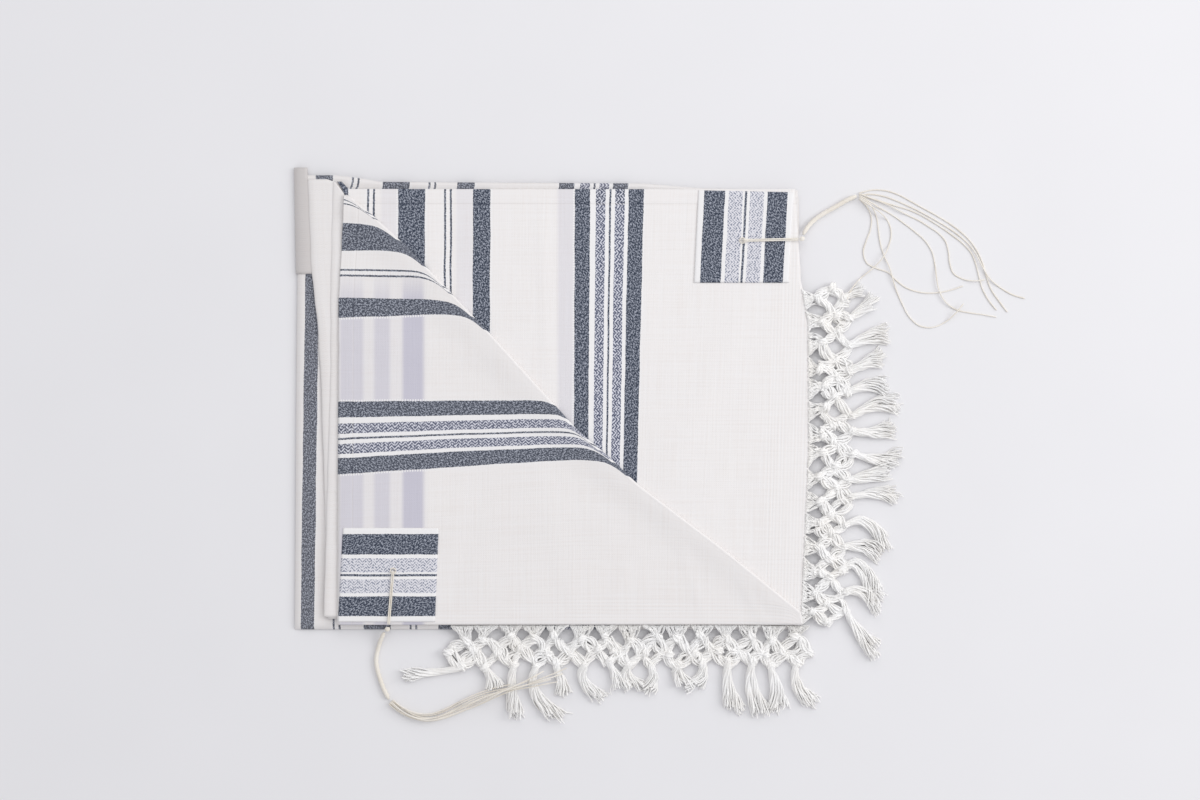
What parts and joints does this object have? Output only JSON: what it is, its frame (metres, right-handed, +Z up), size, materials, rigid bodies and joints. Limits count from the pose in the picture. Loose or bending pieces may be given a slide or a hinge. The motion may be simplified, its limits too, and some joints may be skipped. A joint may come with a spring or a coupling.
{
  "type": "folded tallit prayer shawl",
  "caption": "Cream striped prayer shawl folded flat, one corner turned over a diagonal, with knotted fringe and corner tassels, lying on a table",
  "frame": {"origin": "middle of the base of the folded shawl without its corner tassels, on the surface that it lies on", "axes": "+Z up from the table, +X towards the fringed end, +Y towards the folded back edge"},
  "size_m": [0.7458, 0.5784, 0.0174],
  "materials": {
    "cream_cloth": "fine plain weave with slate and lavender woven stripes",
    "neckband_cloth": "plain weave band, sewn on",
    "patch_cloth": "striped woven patch, stitched at its edges",
    "fringe_yarn": "loosely twisted yarn, knotted in a lattice",
    "tassel_thread": "twisted thread"
  },
  "bodies": {
    "root": {"hidden_layers": "cream_cloth", "under_panel": "cream_cloth", "neckband": "neckband_cloth", "middle_fold": "cream_cloth", "fold_strip": "cream_cloth", "upper_panel": "cream_cloth", "turned_corner": "cream_cloth", "upper_patch": "patch_cloth", "lower_patch": "patch_cloth", "upper_eyelet": "tassel_thread", "lower_eyelet": "tassel_thread", "right_fringe": "fringe_yarn", "front_fringe": "fringe_yarn", "upper_tzitzit_loop_1": "tassel_thread", "upper_tzitzit_loop_2": "tassel_thread", "upper_tzitzit_knot": "tassel_thread", "upper_tzitzit_wound": "tassel_thread", "upper_tzitzit_strand_1": "tassel_thread", "upper_tzitzit_strand_2": "tassel_thread", "upper_tzitzit_strand_3": "tassel_thread", "upper_tzitzit_strand_4": "tassel_thread", "upper_tzitzit_strand_5": "tassel_thread", "upper_tzitzit_strand_6": "tassel_thread", "upper_tzitzit_strand_7": "tassel_thread", "upper_tzitzit_strand_8": "tassel_thread", "lower_tzitzit_loop_1": "tassel_thread", "lower_tzitzit_loop_2": "tassel_thread", "lower_tzitzit_knot": "tassel_thread", "lower_tzitzit_wound": "tassel_thread", "lower_tzitzit_strand_1": "tassel_thread", "lower_tzitzit_strand_2": "tassel_thread", "lower_tzitzit_strand_3": "tassel_thread", "lower_tzitzit_strand_4": "tassel_thread", "lower_tzitzit_strand_5": "tassel_thread", "lower_tzitzit_strand_6": "tassel_thread", "lower_tzitzit_strand_7": "tassel_thread", "lower_tzitzit_strand_8": "tassel_thread"}
  },
  "joints": []
}
